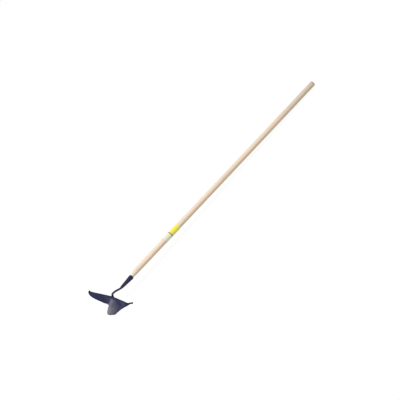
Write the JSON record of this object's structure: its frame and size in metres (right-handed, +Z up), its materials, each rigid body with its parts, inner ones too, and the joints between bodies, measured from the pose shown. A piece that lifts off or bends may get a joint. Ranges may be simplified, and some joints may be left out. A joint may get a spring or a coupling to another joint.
{
  "type": "ridging hoe",
  "caption": "Ridging hoe: long round ash handle with a colour band, tapered steel socket, swan neck, and a pressed navy blade with two wings and a beak.",
  "frame": {"origin": "on the floor, under the middle of the tool's bounding box, with the tool lying as it rests: the beak's lower edge and the grip end touch the floor", "axes": "+X to the tool's right, across the blade; +Y from the blade towards the grip end; +Z up"},
  "size_m": [0.2542, 1.6416, 0.0806],
  "materials": {
    "ash_wood": "bare, sanded",
    "navy_paint": "satin paint on steel",
    "dark_steel": "dark satin paint on steel",
    "label_white": "plain film",
    "label_line": "plain film",
    "label_yellow": "plain film"
  },
  "bodies": {
    "root": {"handle": "ash_wood", "socket": "navy_paint", "socket_screw": "dark_steel", "neck": "dark_steel", "neck_weld": "dark_steel", "blade": "navy_paint", "blade_weld_left": "dark_steel", "blade_weld_right": "dark_steel", "label_white": "label_white", "label_line": "label_line", "label_yellow": "label_yellow"}
  },
  "joints": []
}
